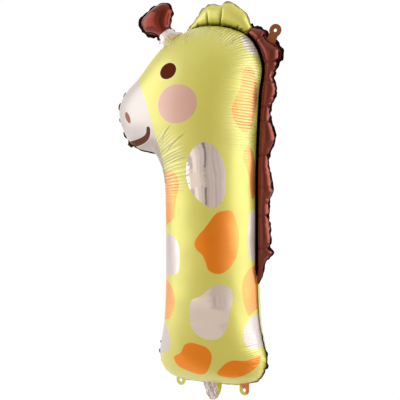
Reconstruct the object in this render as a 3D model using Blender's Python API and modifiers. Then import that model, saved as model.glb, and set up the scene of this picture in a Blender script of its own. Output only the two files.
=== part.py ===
"""Foil balloon shaped as the number one and drawn as a giraffe: a column with a head that leans left.

Two printed foil panels, front and back, are heat-sealed to each other round every edge and along the roots
of the ear, the horn and the mane. Gas blows each chamber up between its seals, and the sealed margin stays
flat round it. The sealed envelope is one closed piece, so it is one solid here.
Metres, +Z up. The seals lie in the XZ plane, the front panel bulges towards -Y, and the origin is the
centre of the hole in the hang tab.
"""

import math

import bmesh
import bpy
import numpy as np
from mathutils import Matrix

# The stroke of the number, and the foot that it stands out to.
COLUMN_WIDTH = 0.212
CHIN_HEIGHT = 0.500
FOOT_FLARE = 0.022
FOOT_HEIGHT = 0.134
FOOT_SAG = 0.003

# The head: chin to crown, the muzzle's reach left of the column, and how far its tip is rounded out.
HEAD_HEIGHT = 0.292
MUZZLE_REACH = 0.142
MUZZLE_ROUNDING = 0.020

# The lobes that stand on the body's edge.
MANE_REACH = 0.041
EAR_REACH = 0.050
HORN_LENGTH = 0.100
HORN_WIDTH = 0.096
HORN_LEAN = math.radians(37)

# The filling tail under the foot.
TAIL_LENGTH = 0.043
TAIL_WIDTH = 0.043

# Tabs with a punched hole, for thread. A tab's length runs from the seam to its hole's centre, and its end
# is round about the hole.
TIE_TAB_WIDTH = 0.023
TIE_TAB_LENGTHS = {"left": 0.007, "right": 0.015}
HANG_TAB_WIDTH = 0.028
HANG_TAB_NECK = 0.021
HANG_TAB_LENGTH = 0.025
HANG_TAB_LEAN = math.radians(24)
TAB_HOLE_DIAMETER = 0.0075

# The sealed margin. Its solid is thicker than the real film, which is about 0.05 mm.
SEAL_WIDTH = 0.005
MARGIN_WIDTH = 0.004
MARGIN_THICKNESS = 0.0012
LOBE_MARGIN_THICKNESS = 0.0016
TAB_THICKNESS = 0.0020
PUNCH_DEPTH = 0.010

# How deep a chamber blows up, as a share of a round section, and how flat the limp tail stays.
FULLNESS = 0.95
TAIL_FULLNESS = 0.40

# Facets: rows in each span of an outline, columns from seal to seal, and steps of a tab's arc and its hole.
ROWS_PER_SPAN = 2
BODY_COLUMNS = 16
LOBE_COLUMNS = 8
ARC_STEPS = 10
HOLE_STEPS = 20
SHARP_ANGLE = math.radians(50)
# Share of a path's length over which its direction is read, each way.
NORMAL_STEP = 0.005
# Points closer than this are one point.
MERGE_DISTANCE = 0.00001

# Outline shares. The foot's profile is (share of the flare, share of the foot's height).
FOOT_PROFILE = ((-1.10, 0.0), (0.35, 0.12), (1.0, 0.40), (0.62, 0.69), (0.22, 1.0))
# Where the plain column is measured, as shares of the way from the foot to the throat.
COLUMN_SHARES = (0.25, 0.55, 0.85)
# Rungs of the head, from throat and nape to the muzzle's tip: lower end, then upper end. "across" is 0 at
# the column's right edge, 1 at its left edge and 2 at the muzzle's tip, and "up" is 0 at the chin and 1 at
# the crown.
HEAD_RUNGS = (
    ((1.01, -0.16), (-0.005, -0.02)),
    ((1.06, -0.06), (-0.02, 0.22)),
    ((1.13, 0.00), (-0.04, 0.46)),
    ((1.20, 0.03), (-0.07, 0.68)),
    ((1.30, 0.05), (0.06, 0.88)),
    ((1.39, 0.06), (0.32, 0.98)),
    ((1.50, 0.07), (0.65, 1.00)),
    ((1.61, 0.09), (0.93, 0.92)),
    ((1.70, 0.12), (1.16, 0.83)),
    ((1.79, 0.17), (1.34, 0.70)),
    ((1.86, 0.25), (1.68, 0.575)),
)
# The mane runs up the body's right edge: (share of the way along it, share of its reach).
MANE_SPAN = (0.217, 0.706)
MANE_SCALLOPS = (
    (0.000, 0.04), (0.035, 0.29), (0.086, 0.43), (0.119, 0.82), (0.140, 0.65), (0.169, 0.72), (0.257, 0.60),
    (0.330, 0.65), (0.358, 0.82), (0.410, 0.72), (0.472, 0.57), (0.530, 0.70), (0.564, 0.88), (0.605, 0.76),
    (0.648, 0.54), (0.690, 0.59), (0.758, 0.78), (0.793, 0.64), (0.816, 0.47), (0.857, 0.83), (0.883, 0.99),
    (0.905, 0.86), (0.933, 0.62), (0.960, 0.70), (1.000, 0.42),
)
# The ear stands on the crown: (share of the way along its root, share of its reach). Its near end bows out.
EAR_SPAN = (0.712, 0.836)
EAR_OUTLINE = (
    (0.00, 0.44), (0.08, 0.67), (0.16, 0.82), (0.26, 0.96), (0.375, 1.00), (0.49, 0.85), (0.59, 0.90),
    (0.67, 0.79), (0.745, 0.54), (0.88, 0.22), (0.96, 0.09), (1.00, 0.04),
)
EAR_BOW = 0.008
# The horn, from its root on the forehead: (share of its length, left and right shares of its half width).
HORN_ROOT = 0.876
HORN_OUTLINE = (
    (0.00, 0.64, 0.66), (0.12, 0.56, 0.47), (0.25, 0.47, 0.35), (0.35, 0.45, 0.37), (0.44, 0.57, 0.56),
    (0.54, 0.74, 0.79), (0.64, 0.89, 0.90), (0.77, 0.87, 0.92), (0.89, 0.84, 0.73), (0.97, 0.66, 0.27),
)
# The tail's profile: (share of its length, share of its half width).
TAIL_PROFILE = ((-0.35, 1.0), (0.0, 1.0), (0.3, 0.95), (0.62, 0.74), (0.86, 0.46), (0.97, 0.18))
# Where the tail and the tabs are, in shares: across the foot between its corners, and up the mane.
TAIL_PLACE = 0.50
TIE_TAB_PLACES = {"left": 0.01, "right": 0.97}
HANG_TAB_PLACE = 0.92


def material(name, colour, roughness, metallic):
    """A foil finish."""
    made = bpy.data.materials.new(name)
    made.use_nodes = True
    shader = made.node_tree.nodes["Principled BSDF"]
    shader.inputs["Base Color"].default_value = (*colour, 1.0)
    shader.inputs["Roughness"].default_value = roughness
    shader.inputs["Metallic"].default_value = metallic
    return made


def smooth_path(points):
    """A curve through the points. At each point its slope is the mean slope to the two neighbours."""
    points = np.array(points, float)
    spans = np.linalg.norm(np.diff(points, axis=0), axis=1)
    slopes = np.empty_like(points)
    slopes[1:-1] = (points[2:] - points[:-2]) / (spans[1:] + spans[:-1])[:, None]
    slopes[0] = (points[1] - points[0]) / spans[0]
    slopes[-1] = (points[-1] - points[-2]) / spans[-1]
    t = (np.arange(ROWS_PER_SPAN) / ROWS_PER_SPAN)[:, None]
    path = [
        (2 * t**3 - 3 * t**2 + 1) * points[i]
        + (t**3 - 2 * t**2 + t) * slopes[i] * span
        + (3 * t**2 - 2 * t**3) * points[i + 1]
        + (t**3 - t**2) * slopes[i + 1] * span
        for i, span in enumerate(spans)
    ]
    return np.concatenate([*path, points[-1:]])


def right_hand(directions):
    """Unit vectors a quarter turn to the right of these, in the XZ plane."""
    turned = np.stack([directions[..., 1], -directions[..., 0]], axis=-1)
    return turned / np.linalg.norm(turned, axis=-1, keepdims=True)


def heading(lean):
    """A unit vector leant clockwise from straight up."""
    return np.array((math.sin(lean), math.cos(lean)))


def between(ends, share):
    """The point that share of the way from one end to the other."""
    return ends[0] + (ends[1] - ends[0]) * share


def on_path(path, share):
    """The points at shares of a path's length."""
    lengths = np.concatenate([[0.0], np.cumsum(np.linalg.norm(np.diff(path, axis=0), axis=1))])
    at = np.asarray(share) * lengths[-1]
    return np.stack([np.interp(at, lengths, path[:, k]) for k in (0, 1)], axis=-1)


def off_path(path, share, reach):
    """Points that stand to the right of a path, at shares of its length and at their reaches from it."""
    share = np.asarray(share)
    outwards = right_hand(on_path(path, share + NORMAL_STEP) - on_path(path, share - NORMAL_STEP))
    return on_path(path, share) + outwards * np.expand_dims(reach, -1)


def head_point(across, up):
    """A point of the head from its shares."""
    x = COLUMN_WIDTH / 2 - COLUMN_WIDTH * min(across, 1.0) - MUZZLE_REACH * max(across - 1.0, 0.0)
    return x, CHIN_HEIGHT + HEAD_HEIGHT * up


def body_seams():
    """The seams from the foot to the muzzle's tip: one up the throat, one up the nape and over the crown."""
    throat = head_point(*HEAD_RUNGS[0][0])[1]
    rungs = [(COLUMN_WIDTH / 2 + FOOT_FLARE * out, FOOT_HEIGHT * up) for out, up in FOOT_PROFILE]
    rungs += [(COLUMN_WIDTH / 2, between((FOOT_HEIGHT, throat), share)) for share in COLUMN_SHARES]
    left = [(-half_width, z) for half_width, z in rungs] + [head_point(*lower) for lower, _ in HEAD_RUNGS]
    right = [(half_width, z) for half_width, z in rungs] + [head_point(*upper) for _, upper in HEAD_RUNGS]
    return smooth_path(left), smooth_path(right)


def lobe_seams(nape, span, outline, reach):
    """The seams of a lobe on the body's edge: the weld that parts it from the body, and its outer edge."""
    shares, reaches = smooth_path(outline).T
    weld = off_path(nape, between(span, np.clip(shares, 0.0, 1.0)), SEAL_WIDTH)
    return weld, off_path(nape, between(span, shares), SEAL_WIDTH + reaches * reach)


def stem_seams(root, direction, outline, length, width):
    """The two seams of a lobe that grows from a root point along a direction."""
    along, left, right = smooth_path([(row[0], row[1], row[-1]) for row in outline]).T
    middle = root + along[:, None] * length * direction
    side = right_hand(direction) * width / 2
    return middle - left[:, None] * side, middle + right[:, None] * side


def flat_panel(left, right, bows, columns):
    """Points of the flat panel between two seams, rows by columns. Its end rows bow outwards."""
    across = (1 - np.cos(np.linspace(0, math.pi, columns + 1))) / 2
    along = np.linspace(0, 1, len(left))[:, None, None]
    panel = left[:, None] * (1 - across[:, None]) + right[:, None] * across[:, None]
    crown = 4 * (across * (1 - across))[:, None]
    panel += (1 - along) * crown * right_hand(right[0] - left[0]) * bows[0]
    panel += along * crown * right_hand(left[-1] - right[-1]) * bows[1]
    return panel


def blown_heights(panel):
    """How far gas lifts a panel off the seal plane: as a membrane held at its edge, made round across."""
    rows, columns = panel.shape[:2]
    corner = np.arange(rows * columns).reshape(rows, columns)
    quads = corner[:-1, :-1], corner[:-1, 1:], corner[1:, 1:], corner[1:, :-1]
    a, b, c, d = (part.ravel() for part in quads)
    triangles = np.concatenate([np.stack([a, b, c], axis=1), np.stack([a, c, d], axis=1)])
    points = panel.reshape(-1, 2)[triangles]
    sides = np.roll(points, -2, axis=1) - np.roll(points, -1, axis=1)
    double_area = np.abs(sides[:, 0, 0] * sides[:, 1, 1] - sides[:, 0, 1] * sides[:, 1, 0])
    stiffness = np.zeros((rows * columns, rows * columns))
    shares = sides @ sides.transpose(0, 2, 1) / (2 * double_area[:, None, None])
    np.add.at(stiffness, (triangles[:, :, None], triangles[:, None, :]), shares)
    load = np.zeros(rows * columns)
    np.add.at(load, triangles, (double_area / 6)[:, None])
    free = corner[1:-1, 1:-1].ravel()
    lift = np.zeros(rows * columns)
    lift[free] = np.linalg.solve(stiffness[np.ix_(free, free)], load[free])
    return np.sqrt(2 * lift).reshape(rows, columns)


def margin_ring(panel):
    """{(row, column): point} of the sealed margin's outer edge, beside each point of the panel's own edge."""
    last_row, last_column = panel.shape[0] - 1, panel.shape[1] - 1
    ring = [(0, j) for j in range(last_column)]
    ring += [(i, last_column) for i in range(last_row)]
    ring += [(last_row, j) for j in range(last_column, 0, -1)]
    ring += [(i, 0) for i in range(last_row, 0, -1)]
    edge = np.array([panel[place] for place in ring])
    outwards = right_hand(np.roll(edge, -1, axis=0) - np.roll(edge, 1, axis=0))
    return dict(zip(ring, edge + outwards * MARGIN_WIDTH))


def finished(name, mesh, finish):
    """Makes a bmesh an object, shaded smooth but for its sharp edges."""
    data = bpy.data.meshes.new(name)
    mesh.to_mesh(data)
    mesh.free()
    data.materials.append(finish)
    data.shade_smooth()
    data.set_sharp_from_angle(angle=SHARP_ANGLE)
    return bpy.data.objects.new(name, data)


def grown_rim(mesh):
    """The new points of a rim grown on an open mesh's edge. Each still lies on the point it came from."""
    rim = [edge for edge in mesh.edges if edge.is_boundary]
    grown = bmesh.ops.extrude_edge_only(mesh, edges=rim)["geom"]
    return [part for part in grown if isinstance(part, bmesh.types.BMVert)]


def chamber(name, seams, finish, columns=LOBE_COLUMNS, bows=(0.0, 0.0), fullness=FULLNESS,
            thickness=LOBE_MARGIN_THICKNESS):
    """A chamber blown up between two flat panels, with the flat sealed margin round it."""
    panel = flat_panel(*seams, bows, columns)
    heights = fullness * blown_heights(panel) + thickness / 2
    margin = margin_ring(panel)
    rows = len(panel) - 1
    mesh = bmesh.new()
    bmesh.ops.create_grid(mesh, x_segments=columns, y_segments=rows, size=0.5)
    places = {}
    for vertex in mesh.verts:
        place = round((vertex.co.y + 0.5) * rows), round((vertex.co.x + 0.5) * columns)
        vertex.co = (panel[place][0], -heights[place], panel[place][1])
        places[tuple(vertex.co)] = place
    for vertex in grown_rim(mesh):
        x, z = margin[places[tuple(vertex.co)]]
        vertex.co = (x, -thickness / 2, z)
    for vertex in grown_rim(mesh):
        vertex.co.y = 0.0
    made = finished(name, mesh, finish)
    back_panel = made.modifiers.new("back_panel", "MIRROR")
    back_panel.use_axis = (False, True, False)
    back_panel.merge_threshold = MERGE_DISTANCE
    return made


def tab_places(foot, nape):
    """{tab: (its root on a seam, its direction, the length to its hole, its width, its neck's width)}."""
    places = {}
    for side, share in TIE_TAB_PLACES.items():
        root = between(foot, share)
        length = TIE_TAB_LENGTHS[side]
        places[f"tie_tab_{side}"] = (root, heading(math.pi), length, TIE_TAB_WIDTH, TIE_TAB_WIDTH)
    reach = np.interp(HANG_TAB_PLACE, *smooth_path(MANE_SCALLOPS).T) * MANE_REACH
    root = off_path(nape, between(MANE_SPAN, HANG_TAB_PLACE), SEAL_WIDTH + reach)
    places["hang_tab"] = (root, heading(HANG_TAB_LEAN), HANG_TAB_LENGTH, HANG_TAB_WIDTH, HANG_TAB_NECK)
    return places


def tab(name, root, direction, length, width, neck, finish):
    """A flat tab that leaves the seam at a root point and ends round about its hole."""
    angles = np.linspace(0, math.pi, ARC_STEPS + 1)
    outline = [(-neck / 2, -SEAL_WIDTH), (neck / 2, -SEAL_WIDTH)]
    outline += [(width / 2 * math.cos(angle), length + width / 2 * math.sin(angle)) for angle in angles]
    curve = bpy.data.curves.new(name, "CURVE")
    curve.dimensions = "2D"
    curve.fill_mode = "BOTH"
    curve.extrude = TAB_THICKNESS / 2
    spline = curve.splines.new("POLY")
    spline.points.add(len(outline) - 1)
    for point, (across, along) in zip(spline.points, outline):
        point.co = (across, along, 0.0, 1.0)
    spline.use_cyclic_u = True
    drawn = bpy.data.objects.new(f"{name}_outline", curve)
    bpy.context.scene.collection.objects.link(drawn)
    across = right_hand(direction)
    turn = Matrix(((across[0], direction[0], 0.0), (0.0, 0.0, -1.0), (across[1], direction[1], 0.0)))
    drawn.matrix_world = Matrix.Translation((root[0], 0.0, root[1])) @ turn.to_4x4()
    bpy.context.view_layer.update()
    filled = bpy.data.meshes.new_from_object(drawn.evaluated_get(bpy.context.evaluated_depsgraph_get()))
    mesh = bmesh.new()
    mesh.from_mesh(filled)
    bpy.data.meshes.remove(filled)
    bmesh.ops.remove_doubles(mesh, verts=mesh.verts, dist=MERGE_DISTANCE)
    made = finished(name, mesh, finish)
    made.matrix_world = drawn.matrix_world
    bpy.data.objects.remove(drawn)
    return made


def punch(name, centre, finish):
    """The punch that cuts a tab's hole."""
    mesh = bmesh.new()
    radius = TAB_HOLE_DIAMETER / 2
    bmesh.ops.create_cone(
        mesh, cap_ends=True, segments=HOLE_STEPS, radius1=radius, radius2=radius, depth=PUNCH_DEPTH,
        matrix=Matrix.Rotation(math.pi / 2, 4, "X"),
    )
    made = finished(name, mesh, finish)
    made.location = (centre[0], 0.0, centre[1])
    return made


def apply_to(envelope, shape, operation):
    """Joins a shape to the envelope, or cuts it away."""
    shape.hide_render = True
    shape.display_type = "WIRE"
    change = envelope.modifiers.new(shape.name, "BOOLEAN")
    change.operation = operation
    change.object = shape
    change.solver = "EXACT"
    # A tight scallop can fold the margin's outer edge over itself.
    change.use_self = True
    change.material_mode = "TRANSFER"


def build():
    """Models the envelope: its chambers and tabs joined into one solid, and the tabs' holes punched."""
    for old in list(bpy.data.objects):
        bpy.data.objects.remove(old)
    yellow = material("yellow_satin_foil", (0.68, 0.63, 0.13), 0.42, 0.75)
    brown = material("brown_bright_foil", (0.19, 0.022, 0.016), 0.25, 0.9)
    tab_film = material("brown_tab_film", (0.25, 0.08, 0.03), 0.5, 0.2)

    throat, nape = body_seams()
    foot = throat[0], nape[0]
    envelope = chamber(
        "foil_envelope", (throat, nape), yellow, columns=BODY_COLUMNS, bows=(FOOT_SAG, MUZZLE_ROUNDING),
        thickness=MARGIN_THICKNESS,
    )
    mane = chamber("mane", lobe_seams(nape, MANE_SPAN, MANE_SCALLOPS, MANE_REACH), brown)
    ear = chamber("ear", lobe_seams(nape, EAR_SPAN, EAR_OUTLINE, EAR_REACH), yellow, bows=(EAR_BOW, 0.0))
    forehead = off_path(nape, HORN_ROOT, SEAL_WIDTH)
    horn_seams = stem_seams(forehead, heading(-HORN_LEAN), HORN_OUTLINE, HORN_LENGTH, HORN_WIDTH)
    horn = chamber("horn", horn_seams, brown)
    tail_root = between(foot, TAIL_PLACE)
    tail_seams = stem_seams(tail_root, heading(math.pi), TAIL_PROFILE, TAIL_LENGTH, TAIL_WIDTH)
    tail = chamber("tail", tail_seams, yellow, fullness=TAIL_FULLNESS)

    tabs, punches = [], []
    for name, (root, direction, length, width, neck) in tab_places(foot, nape).items():
        finish = tab_film if name == "hang_tab" else yellow
        tabs.append(tab(name, root, direction, length, width, neck, finish))
        hole = root + direction * length
        punches.append(punch(f"{name}_punch", hole, finish))
    hang_hole = punches[-1].location

    balloon = bpy.data.collections.new("number_foil_balloon")
    tools = bpy.data.collections.new("joined_and_punched")
    for collection in (balloon, tools):
        bpy.context.scene.collection.children.link(collection)
    pattern = bpy.data.objects.new("pattern_origin", None)
    pattern.location = -hang_hole
    balloon.objects.link(pattern)
    balloon.objects.link(envelope)
    envelope.parent = pattern
    for shape in (mane, ear, horn, tail, *tabs, *punches):
        tools.objects.link(shape)
        shape.parent = pattern
        apply_to(envelope, shape, "DIFFERENCE" if shape in punches else "UNION")


build()
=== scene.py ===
"""Number foil balloon drawn as a giraffe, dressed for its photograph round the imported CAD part.

Metres, +Z up, the row frame. The seals lie in the XZ plane, and the front panel bulges towards -Y. Flat
outlines are (x, z) in millimetres from the middle of the foot's seam, except where a comment says otherwise.
"""

import math

import bmesh
import bpy
import numpy as np
from mathutils import Euler, Matrix, Vector


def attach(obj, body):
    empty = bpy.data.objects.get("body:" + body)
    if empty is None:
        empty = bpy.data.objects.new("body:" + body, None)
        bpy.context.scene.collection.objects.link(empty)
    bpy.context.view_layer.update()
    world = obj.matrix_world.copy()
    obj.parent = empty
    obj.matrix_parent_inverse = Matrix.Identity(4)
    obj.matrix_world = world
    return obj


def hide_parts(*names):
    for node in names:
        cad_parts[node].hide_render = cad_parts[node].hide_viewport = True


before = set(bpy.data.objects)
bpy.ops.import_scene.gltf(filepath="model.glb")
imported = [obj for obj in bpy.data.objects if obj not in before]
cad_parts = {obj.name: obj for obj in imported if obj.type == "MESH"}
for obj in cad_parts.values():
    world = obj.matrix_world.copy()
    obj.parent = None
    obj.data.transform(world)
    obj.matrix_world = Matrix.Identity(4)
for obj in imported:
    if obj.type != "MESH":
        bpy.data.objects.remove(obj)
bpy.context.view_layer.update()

# The camera stands level with the middle of the balloon, 26 degrees round to its right.
look_at = Vector((-0.18154, 0.0, -0.36750))
camera_turn = math.radians(26)
camera_distance = 1.899
camera = bpy.data.objects.new("camera", bpy.data.cameras.new("camera"))
camera.data.sensor_width = 36.0
camera.data.lens = 75.6
camera.location = look_at + camera_distance * Vector((math.sin(camera_turn), -math.cos(camera_turn), 0.0))
camera.rotation_euler = Euler((math.pi / 2, 0.0, camera_turn))
bpy.context.scene.collection.objects.link(camera)
bpy.context.scene.camera = camera


# The studio: a white floor sheet and backdrop, a softbox at each side, and a dim room behind the camera.
# Every sheet shines evenly but for its fade and streaks, and the bare film mirrors them all.
def node(tree, kind, inputs=None, **settings):
    """A shader node. Each input is a value to set or another node's output to link."""
    made = tree.nodes.new(kind)
    for name, value in settings.items():
        setattr(made, name, value)
    for name, value in (inputs or {}).items():
        if isinstance(value, bpy.types.NodeSocket):
            tree.links.new(value, made.inputs[name])
        else:
            made.inputs[name].default_value = value
    return made


def emitter(name, colour, strength, across=((0.0, 1.0), (1.0, 1.0)), streaks=0.0):
    """A material that only shines. Across gives (share, factor) pairs over the sheet's width, and streaks is
    how strongly soft upright bands vary it."""
    made = bpy.data.materials.new(name)
    made.use_nodes = True
    tree = made.node_tree
    tree.nodes.clear()
    place = node(tree, "ShaderNodeTexCoord").outputs["Object"]
    bands = node(tree, "ShaderNodeMapping", {0: place, "Scale": (26.0, 0.6, 1.0)}).outputs[0]
    grey = node(tree, "ShaderNodeTexNoise", {0: bands, "Scale": 1.0, "Detail": 3.0}).outputs["Fac"]
    low, high = strength - streaks, strength + streaks
    level = node(tree, "ShaderNodeMapRange", {0: grey, 1: 0.3, 2: 0.7, 3: low, 4: high}).outputs[0]
    x = node(tree, "ShaderNodeSeparateXYZ", {0: place}).outputs["X"]
    share = node(tree, "ShaderNodeMath", {0: x, 1: 0.5}).outputs[0]
    fade = node(tree, "ShaderNodeValToRGB", {0: share})
    for k, (at, factor) in enumerate(across):
        stop = fade.color_ramp.elements[k] if k < 2 else fade.color_ramp.elements.new(at)
        stop.position = at
        stop.color = (factor, factor, factor, 1.0)
    level = node(tree, "ShaderNodeMath", {0: fade.outputs[0], 1: level}, operation="MULTIPLY").outputs[0]
    light = node(tree, "ShaderNodeEmission", {"Color": (*colour, 1.0), "Strength": level})
    out = node(tree, "ShaderNodeOutputMaterial")
    tree.links.new(light.outputs[0], out.inputs["Surface"])
    return made


def studio_sheet(name, finish, middle, turns, size):
    """A flat sheet of the studio: its middle, its three turns, and its size across and along."""
    mesh = bmesh.new()
    bmesh.ops.create_grid(mesh, x_segments=1, y_segments=1, size=0.5)
    data = bpy.data.meshes.new(name)
    mesh.to_mesh(data)
    mesh.free()
    data.materials.append(finish)
    sheet = bpy.data.objects.new(name, data)
    sheet.location = middle
    sheet.rotation_euler = Euler(turns)
    sheet.scale = (*size, 1.0)
    bpy.context.scene.collection.objects.link(sheet)


FLOOR_HEIGHT = -0.90
SHEET_GAP = 0.001
WHITE = (1.0, 1.0, 1.0)
ROOM_COLOUR = (0.60, 0.53, 0.49)
RIGHT_FADE = ((0.0, 0.4), (0.1, 0.65), (0.22, 0.92), (0.35, 1.0), (1.0, 1.0))
LEFT_FADE = ((0.0, 0.98), (0.12, 1.08), (0.5, 1.04), (0.75, 0.88), (0.9, 0.7), (1.0, 0.6))
WALL_FADE = (
    (0.0, 1.0), (0.12, 0.9), (0.28, 0.66), (0.42, 0.5), (0.6, 0.47), (0.7, 0.54), (0.78, 0.7), (0.88, 0.9),
    (1.0, 1.0),
)
NEAR_FADE = (
    (0.0, 0.96), (0.28, 1.0), (0.35, 0.9), (0.42, 0.78), (0.58, 0.76), (0.64, 0.88), (0.7, 1.0), (1.0, 0.96),
)
world = bpy.data.worlds.new("studio")
world.use_nodes = True
world.node_tree.nodes["Background"].inputs["Color"].default_value = (*ROOM_COLOUR, 1.0)
bpy.context.scene.world = world
bpy.context.scene.view_settings.view_transform = "Standard"
# Upright sheets: azimuth (0 on the camera's side, growing to its right), distance, width, and the heights of
# the lower and upper edges, then the light's name, colour, strength, fade and streaks.
for name, azimuth, distance, width, low, high, *light in (
    ("backdrop", 180, 2.6, 3.2, FLOOR_HEIGHT, 3.4, "backdrop_white", WHITE, 1.02),
    ("softbox_right", 72, 2.5, 3.25, FLOOR_HEIGHT, 2.1, "right_light", (1.0, 1.0, 0.98), 2.62, RIGHT_FADE),
    ("softbox_left", -86, 2.5, 3.2, FLOOR_HEIGHT, 2.3, "left_light", (1.0, 0.99, 0.96), 2.22, LEFT_FADE),
    ("lamp_stand", -11.5, 2.4, 0.2, -0.6, 1.0, "stand_grey", (0.20, 0.155, 0.135), 1.0),
    ("room_wall", -2, 3.3, 6.0, FLOOR_HEIGHT, 1.8,
     "room_wall_grey", (1.0, 0.87, 0.78), 1.08, WALL_FADE, 0.28),
):
    angle = camera_turn + math.radians(azimuth)
    middle = Vector((look_at.x, 0.0, (low + high) / 2))
    middle += distance * Vector((math.sin(angle), -math.cos(angle), 0.0))
    studio_sheet(name, emitter(*light), middle, (math.pi / 2, 0.0, angle), (width, high - low))
# Level sheets: how far right of the balloon and behind it the middle is, the height, the turn about X, the
# width and the length, then the light.
for name, right, back, up, turn, width, length, *light in (
    ("floor", -0.5, 1.55, FLOOR_HEIGHT, 0.0, 9.0, 3.4, "floor_white", WHITE, 1.02),
    ("near_floor", 0.75, -1.45, FLOOR_HEIGHT - SHEET_GAP, 0.0, 9.0, 3.4,
     "near_floor_beige", (1.0, 0.86, 0.72), 0.9, NEAR_FADE),
    ("carpet", 1.1617, -2.3818, FLOOR_HEIGHT + SHEET_GAP, 0.0, 1.5, 1.3,
     "carpet_beige", (1.0, 0.85, 0.70), 0.56),
    ("overhead", 0.0, 0.0, 1.9, math.pi, 3.2, 3.2, "overhead_light", (1.0, 0.97, 0.93), 0.8),
):
    middle = (look_at.x + right, back, up)
    studio_sheet(name, emitter(*light), middle, (turn, 0.0, camera_turn), (width, length))


# The body: two panels of printed film sealed round the edge and blown tight. The film is bright foil under
# satin yellow ink, with clear orange and bare silver spots. Its edge gathers into pleats where it curves.
MM = 0.001
PATTERN_ORIGIN = np.array((-0.14954, -0.7715))
COLUMN_WIDTH = 212.0
FOOT_HEIGHT = 134.0
CHIN_HEIGHT = 500.0
HEAD_HEIGHT = 292.0
MUZZLE_REACH = 142.0
FULLNESS = 0.95
SEAM_HALF = 0.35
BODY_COLUMNS = 70
BODY_KNOT_COLUMNS = 24
KNOTS_PER_SPAN = 3
FOOT_PROFILE = ((-24.2, 0.0), (7.7, 16.1), (22.0, 53.6), (13.6, 92.5), (4.8, 134.0))
COLUMN_SHARES = (0.25, 0.55, 0.85)
HEAD_RUNGS = (
    ((1.01, -0.16), (-0.005, -0.02)), ((1.06, -0.06), (-0.02, 0.22)), ((1.13, 0.00), (-0.04, 0.46)),
    ((1.20, 0.03), (-0.07, 0.68)), ((1.30, 0.05), (0.06, 0.88)), ((1.39, 0.06), (0.32, 0.98)),
    ((1.50, 0.07), (0.65, 1.00)), ((1.61, 0.09), (0.93, 0.92)), ((1.70, 0.12), (1.16, 0.83)),
    ((1.79, 0.17), (1.34, 0.70)), ((1.86, 0.25), (1.68, 0.575)),
)
FOOT_SAG = 3.0
MUZZLE_ROUNDING = 20.0


def path_at(points, places):
    """Points of a smooth curve through these points, at places counted in spans from its start."""
    points = np.array(points, float)
    spans = np.linalg.norm(np.diff(points, axis=0), axis=1)
    slopes = np.empty_like(points)
    slopes[1:-1] = (points[2:] - points[:-2]) / (spans[1:] + spans[:-1])[:, None]
    slopes[0] = (points[1] - points[0]) / spans[0]
    slopes[-1] = (points[-1] - points[-2]) / spans[-1]
    i = np.clip(np.asarray(places).astype(int), 0, len(spans) - 1)
    t = (np.asarray(places) - i)[:, None]
    span = spans[i][:, None]
    return (
        (2 * t**3 - 3 * t**2 + 1) * points[i]
        + (t**3 - 2 * t**2 + t) * slopes[i] * span
        + (3 * t**2 - 2 * t**3) * points[i + 1]
        + (t**3 - t**2) * slopes[i + 1] * span
    )


def run_length(points):
    """Length along a line of points, from its first one. Lines run down the first axis."""
    steps = np.linalg.norm(np.diff(points, axis=0), axis=-1)
    return np.concatenate([np.zeros((1, *steps.shape[1:])), np.cumsum(steps, axis=0)])


def head_point(across, up):
    """A point of the head. Across is 0 at the column's right edge, 1 at its left and 2 at the muzzle."""
    x = COLUMN_WIDTH / 2 - COLUMN_WIDTH * min(across, 1.0) - MUZZLE_REACH * max(across - 1.0, 0.0)
    return x, CHIN_HEIGHT + HEAD_HEIGHT * up


def body_outline():
    """Control points of the throat's seam and of the nape's, from the foot to the muzzle's tip."""
    throat_height = head_point(*HEAD_RUNGS[0][0])[1]
    rungs = [(COLUMN_WIDTH / 2 + out, up) for out, up in FOOT_PROFILE]
    rungs += [(COLUMN_WIDTH / 2, FOOT_HEIGHT + (throat_height - FOOT_HEIGHT) * s) for s in COLUMN_SHARES]
    left = [(-x, z) for x, z in rungs] + [head_point(*lower) for lower, _ in HEAD_RUNGS]
    right = [(x, z) for x, z in rungs] + [head_point(*upper) for _, upper in HEAD_RUNGS]
    return left, right


def flat_panel(left, right, places, columns, bows):
    """Flat points between two seams, rows by columns, close together near the seams."""
    across = (1 - np.cos(np.linspace(0, math.pi, columns + 1))) / 2
    first, last = path_at(left, places), path_at(right, places)
    along = (np.asarray(places) / (len(left) - 1))[:, None, None]
    panel = first[:, None] * (1 - across[:, None]) + last[:, None] * across[:, None]
    crown = 4 * (across * (1 - across))[:, None]
    for weight, (a, b), bow in zip((1 - along, along), ((left[0], right[0]), (right[-1], left[-1])), bows):
        way = np.array((b[1] - a[1], a[0] - b[0])) / math.dist(a, b)
        panel = panel + weight * crown * way * bow
    return panel


def membrane(panel):
    """The lift potential of a soap film held at the panel's edge."""
    rows, columns = panel.shape[:2]
    corner = np.arange(rows * columns).reshape(rows, columns)
    a, b, c, d = (q.ravel() for q in (corner[:-1, :-1], corner[:-1, 1:], corner[1:, 1:], corner[1:, :-1]))
    triangles = np.concatenate([np.stack([a, b, c], axis=1), np.stack([a, c, d], axis=1)])
    points = panel.reshape(-1, 2)[triangles]
    sides = np.roll(points, -2, axis=1) - np.roll(points, -1, axis=1)
    double_area = np.abs(sides[:, 0, 0] * sides[:, 1, 1] - sides[:, 0, 1] * sides[:, 1, 0])
    shares = sides @ sides.transpose(0, 2, 1) / (2 * double_area[:, None, None])
    stiffness = np.zeros((rows * columns, rows * columns))
    np.add.at(stiffness, (triangles[:, :, None], triangles[:, None, :]), shares)
    load = np.zeros(rows * columns)
    np.add.at(load, triangles, (double_area / 6)[:, None])
    free = corner[1:-1, 1:-1].ravel()
    lift = np.zeros(rows * columns)
    lift[free] = np.linalg.solve(stiffness[np.ix_(free, free)], load[free])
    return lift.reshape(rows, columns)


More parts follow.
